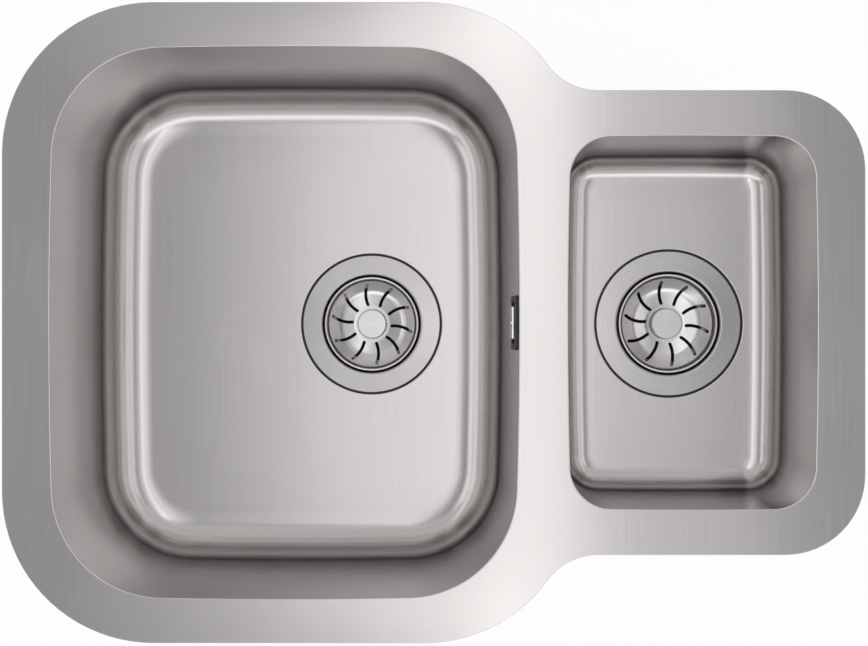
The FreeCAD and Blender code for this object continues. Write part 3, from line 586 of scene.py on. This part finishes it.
dish = turned(
    "main_dish",
    [
        (screw_hole, dish_hub_floor, 0),
        (dish_hub, dish_hub_floor, dish_bend),
        (dish_hub, dish_floor, dish_bend + dish_sheet),
        (dish_well, dish_floor, dish_well_round),
        (dish_well, dish_well_top, dish_bend),
        (dish_mouth, dish_mouth_foot, dish_bend),
        (dish_mouth, dish_mouth_top, dish_mouth_round),
        (dish_rim, dish_rim_top, dish_rim_round),
        (dish_rim, dish_under, 0),
        (dish_well + dish_sheet, dish_under, 0),
        (dish_well + dish_sheet, dish_floor - dish_sheet, dish_well_round + dish_sheet),
        (dish_hub + dish_sheet, dish_floor - dish_sheet, dish_bend),
        (dish_hub + dish_sheet, dish_hub_floor - dish_sheet, dish_bend + dish_sheet),
        (screw_hole, dish_hub_floor - dish_sheet, 0),
    ],
)
bpy.ops.object.select_all(action="DESELECT")
bpy.ops.mesh.primitive_cylinder_add(
    vertices=40,
    radius=drain_hole_radius,
    depth=10 * dish_sheet,
    location=axis + Vector((drain_hole_ring, 0, dish_floor - dish_sheet / 2)),
)
cut_away(dish, ring_of_cutters(bpy.context.object, drain_holes))
waste_steel = {}
for row, centre in waste_axis.items():
    waste_steel[row] = spun_steel(
        row + "_waste_steel", centre.x, (0.485, 0.469, 0.465), (0.555, 0.538, 0.534), 0.25
    )
for row, piece in in_both_wastes(dish):
    fit(piece, row + "_waste_dish", "sink", waste_steel[row])


# Waste seals: black rubber rings above and below each bowl's floor. The gasket lies under
# the dish's rim and turns up round its edge, and the thick seal is squeezed from below.
gasket_bore = 0.0455
gasket_radius = 0.0588
gasket_foot_round = 0.0006
gasket_lip = 0.0576
gasket_lip_top = -0.0011
gasket_lip_round = 0.0002
seal_radius = 0.0555
seal_top = -seat_depth - sheet
seal_foot = -0.007
seal_round = 0.0013


def soft_rubber(name):
    """Black moulded rubber with a dull skin."""
    finish, tree, shader, place = new_finish(name)
    skin = noise(tree, place, scale=700.0, detail=3.0)
    dust = noise(tree, place, scale=60.0, detail=3.0)
    tone = toned(tree, skin, dust, share=0.6)
    coloured(tree, shader, tone, (0.014, 0.014, 0.014), (0.034, 0.034, 0.035), 0.6, play=0.1)
    bumped(tree, shader, skin, strength=0.2, depth=0.0001)
    return finish


gasket = turned(
    "main_gasket",
    [
        (gasket_bore, -seat_depth, 0),
        (gasket_radius, -seat_depth, gasket_foot_round),
        (gasket_radius, gasket_lip_top, gasket_lip_round),
        (gasket_lip, gasket_lip_top, 0),
        (gasket_lip, dish_under, 0),
        (gasket_bore, dish_under, 0),
    ],
)
bowl_seal = turned(
    "main_seal",
    [
        (gasket_bore, seal_foot, 0),
        (seal_radius, seal_foot, seal_round),
        (seal_radius, seal_top, seal_round),
        (gasket_bore, seal_top, 0),
    ],
)
black_rubber = soft_rubber("rubber")
for row, piece in in_both_wastes(gasket):
    fit(piece, row + "_dish_gasket", "sink", black_rubber)
for row, piece in in_both_wastes(bowl_seal):
    fit(piece, row + "_bowl_seal", "sink", black_rubber)


# Waste bodies: off-white polypropylene cups, moulded with spokes and a hub, in which a brass
# insert takes the steel screw. The outlet pipe welded on below each of them
# has the thread for the trap's nut.
tail_bore = 0.0195
tail_core = 0.0227
tail_collar = 0.0274
tail_collar_foot = -0.066
tail_collar_round = 0.0006
tail_top = -0.062
tail_foot = -0.092
tail_chamfer = 0.0008
thread_pitch = 0.0023
thread_turns = 10
thread_top = -0.067
thread_root = 0.0225
thread_height = 0.0014
thread_flank = 0.0007
thread_crest = 0.0003


def moulded_plastic(name, dark, light, roughness):
    """Polypropylene with the faint grain of the mould and slow flow marks."""
    finish, tree, shader, place = new_finish(name)
    grain = noise(tree, place, scale=1400.0, detail=2.0)
    flow = noise(tree, place, scale=22.0, detail=3.0, distortion=1.2)
    tone = toned(tree, grain, flow, share=0.7)
    coloured(tree, shader, tone, dark, light, roughness, play=0.06)
    shader.inputs["Subsurface Weight"].default_value = 0.08
    shader.inputs["Subsurface Radius"].default_value = (0.002, 0.002, 0.002)
    bumped(tree, shader, grain, strength=0.15, depth=0.00008)
    return finish


tail = turned(
    "main_tail",
    [
        (tail_bore, tail_top, 0),
        (tail_collar, tail_top, 0),
        (tail_collar, tail_collar_foot, tail_collar_round),
        (tail_core, tail_collar_foot, 0),
        (tail_core, tail_foot + tail_chamfer, 0),
        (tail_core - tail_chamfer, tail_foot, 0),
        (tail_bore, tail_foot, 0),
    ],
)
ridge = begin("ridge", axis + Vector((thread_root, 0, thread_top - thread_turns * thread_pitch)))
for step in (
    (thread_height, 0, thread_flank),
    (0, 0, thread_crest),
    (-thread_height, 0, thread_flank),
    (0, 0, -2 * thread_flank - thread_crest),
):
    bpy.ops.mesh.extrude_region_move(TRANSFORM_OT_translate={"value": step})
bpy.ops.mesh.select_all(action="SELECT")
bpy.ops.mesh.remove_doubles(threshold=weld_gap)
bpy.ops.object.mode_set(mode="OBJECT")
bpy.ops.object.empty_add(location=axis)
middle = bpy.context.object
finish_with(
    ridge,
    "SCREW",
    object=middle,
    screw_offset=thread_pitch,
    iterations=thread_turns,
    steps=turn_steps // 2,
    render_steps=turn_steps // 2,
)
bpy.data.objects.remove(middle)
bpy.ops.object.mode_set(mode="EDIT")
bpy.ops.mesh.select_all(action="SELECT")
bpy.ops.mesh.fill_holes(sides=0)
bpy.ops.mesh.select_all(action="SELECT")
bpy.ops.mesh.normals_make_consistent(inside=False)
bpy.ops.object.mode_set(mode="OBJECT")
choose(tail)
ridge.select_set(True)
bpy.ops.object.join()
waste_plastic = moulded_plastic("waste_plastic", (0.70, 0.70, 0.68), (0.80, 0.80, 0.78), 0.42)
for row, piece in in_both_wastes(tail):
    fit(piece, row + "_waste_tail", "sink", waste_plastic)
fixing_steel = {}
for row, centre in waste_axis.items():
    fixing_steel[row] = spun_steel(
        row + "_fixing_steel", centre.x, (0.50, 0.49, 0.48), (0.60, 0.59, 0.58), 0.24
    )
    brass = spun_steel(row + "_brass", centre.x, (0.62, 0.44, 0.17), (0.74, 0.56, 0.26), 0.28)
    dress(row + "_waste_body", waste_plastic)
    dress(row + "_waste_insert", brass)
    dress(row + "_waste_screw", fixing_steel[row])


# Basket cups: pressed from thin bright steel, with ten curved slots punched round a shallow
# floor, to catch scraps. Each has a turned-over rim and turns freely on its plug's stem.
cup_sheet = 0.0008
cup_bore = 0.00408
cup_floor = -0.0175
cup_mouth = 0.0377
cup_rim = 0.0397
cup_rim_top = -0.0022
cup_rim_edge = -0.0044
cup_rim_round = 0.001
slot_count = 10
slot_steps = 12
slot_width = 0.0026
slot_foot = -0.0215
slot_height = 0.0175


def at_angle(radius, degrees):
    """A point at a radius and an angle."""
    return Vector((math.cos(math.radians(degrees)), math.sin(math.radians(degrees)))) * radius


def arc_hub(first, second, third):
    """The centre of the circle through three points."""
    sides = ((first, second - third), (second, third - first), (third, first - second))
    across = sum(point.dot(point) * side.y for point, side in sides)
    along = sum(point.dot(point) * -side.x for point, side in sides)
    return Vector((across, along)) / (2 * (second - first).cross(third - first))


cup_line = bent_line(
    [
        (cup_bore, cup_floor, 0),
        (0.0150, -0.0172, 0.012),
        (0.0270, -0.0147, 0.020),
        (0.0368, -0.0092, 0.003),
        (cup_mouth, cup_rim_top, cup_rim_round),
        (cup_rim, cup_rim_top, cup_rim_round),
        (cup_rim, cup_rim_edge, 0),
    ],
    turn=5,
    tail=0.0,
)
cup = turned_sheet("main_cup", axis, cup_line, turn_steps)
face_up(cup)
finish_with(cup, "SOLIDIFY", thickness=cup_sheet, offset=-1.0, use_quality_normals=True)
slot_start = at_angle(0.0156, -6.8)
slot_middle = at_angle(0.0245, -5.3)
slot_end = at_angle(0.0345, -12.1)
hub = arc_hub(slot_start, slot_middle, slot_end)
arm = slot_start - hub
reach = slot_end - hub
slots = begin("slots", axis + Vector((slot_start.x, slot_start.y, slot_foot)))
bpy.ops.mesh.spin(
    steps=slot_steps,
    angle=-math.atan2(arm.cross(reach), arm.dot(reach)),
    center=axis + Vector((hub.x, hub.y, 0)),
    axis=(0, 0, 1),
)
bpy.ops.mesh.select_all(action="SELECT")
bpy.ops.mesh.extrude_region_move(TRANSFORM_OT_translate={"value": (0, 0, slot_height)})
bpy.ops.object.mode_set(mode="OBJECT")
finish_with(slots, "SOLIDIFY", thickness=slot_width, offset=0.0)
finish_with(
    slots,
    "BEVEL",
    width=slot_width * 0.45,
    segments=4,
    limit_method="ANGLE",
    angle_limit=math.radians(50),
)
cut_away(cup, ring_of_cutters(slots, slot_count))
basket_steel = {}
for row, centre in waste_axis.items():
    basket_steel[row] = spun_steel(
        row + "_basket_steel", centre.x, (0.61, 0.603, 0.60), (0.69, 0.682, 0.678), 0.22
    )
for row, piece in in_both_wastes(cup):
    fit(piece, row + "_basket_cup", row + "_basket", basket_steel[row])


# Plugs: a turned steel knob is screwed on a stem that slides in the hollow screw.
# The stem also carries the catch ring, the washer and the rubber plug, so that pressing
# the basket down shuts the waste.
knob_radius = 0.0122
knob_top = -0.00785
knob_top_round = 0.001
knob_under = -0.01125
knob_under_round = 0.0008
knob_neck = 0.0072
knob_neck_height = -0.01405
knob_neck_round = 0.003
knob_foot = 0.0086
knob_foot_height = -0.01735
knob_foot_round = 0.0006
knob_bore = 0.0031
knob_bore_top = -0.01065
plug_bore = 0.0041
plug_foot = -0.038
plug_foot_radius = 0.0315
plug_foot_round = 0.0004
plug_top = -0.034
plug_top_radius = 0.0305
plug_top_round = 0.0012
knob = turned(
    "main_knob",
    [
        (0, knob_bore_top, 0),
        (knob_bore, knob_bore_top, 0),
        (knob_bore, knob_foot_height, 0),
        (knob_foot, knob_foot_height, knob_foot_round),
        (knob_neck, knob_neck_height, knob_neck_round),
        (knob_radius, knob_under, knob_under_round),
        (knob_radius, knob_top, knob_top_round),
        (0, knob_top, 0),
    ],
)
plug = turned(
    "main_plug_rubber",
    [
        (plug_bore, plug_foot, 0),
        (plug_foot_radius, plug_foot, plug_foot_round),
        (plug_top_radius, plug_top, plug_top_round),
        (plug_bore, plug_top, 0),
    ],
)
for row, piece in in_both_wastes(knob):
    fit(piece, row + "_basket_knob", row + "_plug", basket_steel[row])
for row, piece in in_both_wastes(plug):
    fit(piece, row + "_plug_seal", row + "_plug", black_rubber)
for row in waste_axis:
    dress(row + "_basket_stem", fixing_steel[row])
    dress(row + "_catch_ring", fixing_steel[row])
    dress(row + "_plug_washer", waste_steel[row])


# Overflow: a square black frame in the main bowl's wall with a steel plate before its mouth.
# One screw holds both to the moulded housing behind, with a rubber ring against the wall.
def plated_steel(name, dark, light, roughness):
    """Bright pressed steel with a faint even grain."""
    finish, tree, shader, place = new_finish(name)
    grain = noise(tree, place, scale=1800.0, detail=2.0)
    cloud = noise(tree, place, scale=60.0, detail=2.0)
    tone = toned(tree, grain, cloud, share=0.5)
    coloured(tree, shader, tone, dark, light, roughness, play=0.04)
    bare_metal(shader)
    bumped(tree, shader, grain, strength=0.08, depth=0.00003)
    return finish


frame_plastic = moulded_plastic("frame_plastic", (0.007, 0.007, 0.0075), (0.016, 0.016, 0.017), 0.5)
dress("overflow_frame", frame_plastic)
dress("overflow_plate", plated_steel("trim_steel", (0.78, 0.775, 0.77), (0.86, 0.855, 0.85), 0.14))
dress("overflow_screw", plated_steel("screw_steel", (0.50, 0.49, 0.48), (0.60, 0.59, 0.58), 0.25))
dress("overflow_seal", black_rubber)
dress("overflow_insert", plated_steel("overflow_brass", (0.62, 0.44, 0.17), (0.74, 0.56, 0.26), 0.28))
dress("overflow_housing", waste_plastic)


# Overflow hose: grey blow-moulded plastic with round ribs, so that it bends, and a plain
# cuff at each end. It is pushed on two spigots, and a worm-drive clip holds each cuff.
hose_bore = 0.0085
hose_valley = 0.0097
hose_crest = 0.012
hose_cuff = 0.024
hose_cuff_radius = 0.011
hose_cuff_step = 0.0005
hose_rib = 0.0044
hose_sides = 40
rib_steps = 10
bore_steps = 60
handle = 0.01
hose_low, hose_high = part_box("overflow_hose")
hose_x = hose_high.x - hose_crest
hose_z = hose_low.z + hose_crest
hose_bend = hose_x - hose_low.x - hose_cuff
hose_length = hose_high.z - hose_z - hose_bend + hose_bend * math.pi / 2 + hose_cuff
hose_ribs = round((hose_length - 2 * hose_cuff) / hose_rib)
hose_pitch = (hose_length - 2 * hose_cuff) / hose_ribs
outline = [(0, hose_bore), (0, hose_cuff_radius), (hose_cuff - hose_cuff_step, hose_cuff_radius)]
for step in range(hose_ribs * rib_steps + 1):
    wave = (1 - math.cos(math.tau * step / rib_steps)) / 2
    radius = hose_valley + (hose_crest - hose_valley) * wave**0.7
    outline.append((hose_cuff + step * hose_pitch / rib_steps, radius))
outline += [
    (hose_length - hose_cuff + hose_cuff_step, hose_cuff_radius),
    (hose_length, hose_cuff_radius),
    (hose_length, hose_bore),
]
for step in range(bore_steps, -1, -1):
    outline.append((hose_length * step / bore_steps, hose_bore))
hose = begin("hose", (0, 0, hose_bore))
draw(outline)
bpy.ops.mesh.spin(steps=hose_sides, angle=math.tau, center=(0, 0, 0), axis=(1, 0, 0))
weld_outwards()
bpy.ops.object.select_all(action="DESELECT")
bpy.ops.curve.primitive_bezier_curve_add()
route = bpy.context.object
route.data.splines[0].bezier_points.add(2)
round_handle = hose_bend * 4 / 3 * (math.sqrt(2) - 1)
down = Vector((0, 0, -1))
left = Vector((-1, 0, 0))
stops = [
    (Vector((hose_x, 0, hose_high.z)), down, handle, handle),
    (Vector((hose_x, 0, hose_z + hose_bend)), down, handle, round_handle),
    (Vector((hose_x - hose_bend, 0, hose_z)), left, round_handle, handle),
    (Vector((hose_low.x, 0, hose_z)), left, handle, handle),
]
for point, (place, heading, before, after) in zip(route.data.splines[0].bezier_points, stops):
    point.handle_left_type = "FREE"
    point.handle_right_type = "FREE"
    point.co = place
    point.handle_left = place - heading * before
    point.handle_right = place + heading * after
route.data.resolution_u = 48
finish_with(hose, "CURVE", object=route, deform_axis="POS_X")
bpy.data.objects.remove(route)
hose_plastic = moulded_plastic("hose_plastic", (0.42, 0.43, 0.44), (0.52, 0.53, 0.54), 0.38)
fit(hose, "overflow_hose", "sink", hose_plastic, angle=50)
clip_steel = plated_steel("clip_steel", (0.55, 0.55, 0.55), (0.66, 0.66, 0.66), 0.22)
dress("upper_hose_clip", clip_steel)
dress("lower_hose_clip", clip_steel)


# Floor, light and camera: a white table under the sink in a pale room, with soft panel lamps
# overhead and round it, the brightest over the bridge and in front.
# The camera looks straight down.
table_size = 8.0
table_gap = 0.001
table_glow = 0.93
bpy.ops.object.select_all(action="DESELECT")
bpy.ops.mesh.primitive_plane_add(size=table_size, location=(0, 0, cad_box[0].z - table_gap))
table = bpy.context.object
table.name = "table"
white_table, tree, shader, _ = new_finish("white_table")
shader.inputs["Base Color"].default_value = (0.9, 0.9, 0.9, 1)
shader.inputs["Roughness"].default_value = 0.6
path = add_node(tree, "ShaderNodeLightPath").outputs
seen = path["Is Camera Ray"]
for other_ray in ("Is Glossy Ray", "Is Transmission Ray"):
    seen = add_node(tree, "ShaderNodeMath", {0: seen, 1: path[other_ray]}, operation="MAXIMUM").outputs[0]
share = add_node(tree, "ShaderNodeMath", {0: seen, 1: table_glow}, operation="MULTIPLY")
glow = add_node(tree, "ShaderNodeEmission", {"Color": (1, 1, 1, 1), "Strength": 1.0})
mixed = add_node(
    tree,
    "ShaderNodeMixShader",
    {0: share.outputs[0], 1: shader.outputs[0], 2: glow.outputs[0]},
)
tree.links.new(mixed.outputs[0], tree.nodes["Material Output"].inputs["Surface"])
table.data.materials.append(white_table)

scene = bpy.context.scene
room = bpy.data.worlds.new("studio")
scene.world = room
room.use_nodes = True
tree = room.node_tree
toward = add_node(tree, "ShaderNodeTexCoord").outputs["Generated"]
height = add_node(tree, "ShaderNodeSeparateXYZ", {0: toward}).outputs["Z"]
brightness = spread(tree, height, 1.0, 0.4, start=0.3, end=0.45)
tree.links.new(brightness, tree.nodes["Background"].inputs["Strength"])
tree.nodes["Background"].inputs["Color"].default_value = (1, 1, 1, 1)

ceiling = 0.95
side_height = 0.45
level = (0, 0, 0)
facing_right = (0, -math.pi / 2, 0)
facing_left = (0, math.pi / 2, 0)
facing_back = (math.pi / 2, 0, 0)
facing_front = (-math.pi / 2, 0, 0)
# Lamps that overlap hang at different heights, or they would hide each other in the steel.
for place, turn, wide, deep, watts in (
    ((-0.990, 0, ceiling), level, 0.39, 0.90, 1.00),
    ((-0.470, 0, ceiling), level, 0.13, 0.84, 0.04),
    ((-0.340, 0, ceiling), level, 0.13, 0.82, 0.12),
    ((-0.145, 0, ceiling), level, 0.26, 0.82, 0.49),
    ((0.050, 0, ceiling - 0.02), level, 0.13, 1.20, 0.61),
    ((-0.060, 0.44, ceiling - 0.01), level, 0.20, 0.22, 0.075),
    ((-0.060, -0.44, ceiling - 0.01), level, 0.20, 0.22, 0.05),
    ((0.245, 0, ceiling), level, 0.26, 0.90, 0.28),
    ((0.830, 0, ceiling), level, 0.39, 0.90, 0.76),
    ((-0.080, -0.90, ceiling), level, 2.20, 0.42, 3.7),
    ((0.290, -0.57, ceiling), level, 1.42, 0.22, 0.40),
    ((-0.080, 0.79, ceiling), level, 2.20, 0.64, 1.35),
    ((-1.300, 0, side_height), facing_right, 1.00, 2.30, 5.58),
    ((1.150, 0, side_height - 0.25), facing_left, 0.50, 2.30, 0.76),
    ((1.150, 0, side_height + 0.25), facing_left, 0.50, 2.30, 2.80),
    ((-0.080, -1.15, side_height), facing_back, 2.40, 1.00, 2.56),
    ((-0.080, 1.15, side_height), facing_front, 2.40, 1.00, 2.38),
):
    bpy.ops.object.light_add(type="AREA", location=place, rotation=turn)
    panel = bpy.context.object
    panel.visible_camera = False
    panel.data.shape = "RECTANGLE"
    panel.data.size = wide
    panel.data.size_y = deep
    panel.data.energy = watts

focal_pixels = 1620.0
photo_width_pixels = 868.0
rim_pixels_per_metre = 1382.4
right_shift_pixels = 6.0
up_shift_pixels = 9.0
camera_x = -0.0838
camera_y = -0.0068
film_width = 36.0
bpy.ops.object.camera_add(
    location=(camera_x, camera_y, focal_pixels / rim_pixels_per_metre), rotation=(0, 0, 0)
)
camera = bpy.context.object
camera.data.sensor_width = film_width
camera.data.lens = focal_pixels / photo_width_pixels * film_width
camera.data.shift_x = right_shift_pixels / photo_width_pixels
camera.data.shift_y = up_shift_pixels / photo_width_pixels
camera.data.clip_end = 50.0
scene.camera = camera
scene.view_settings.view_transform = "Standard"
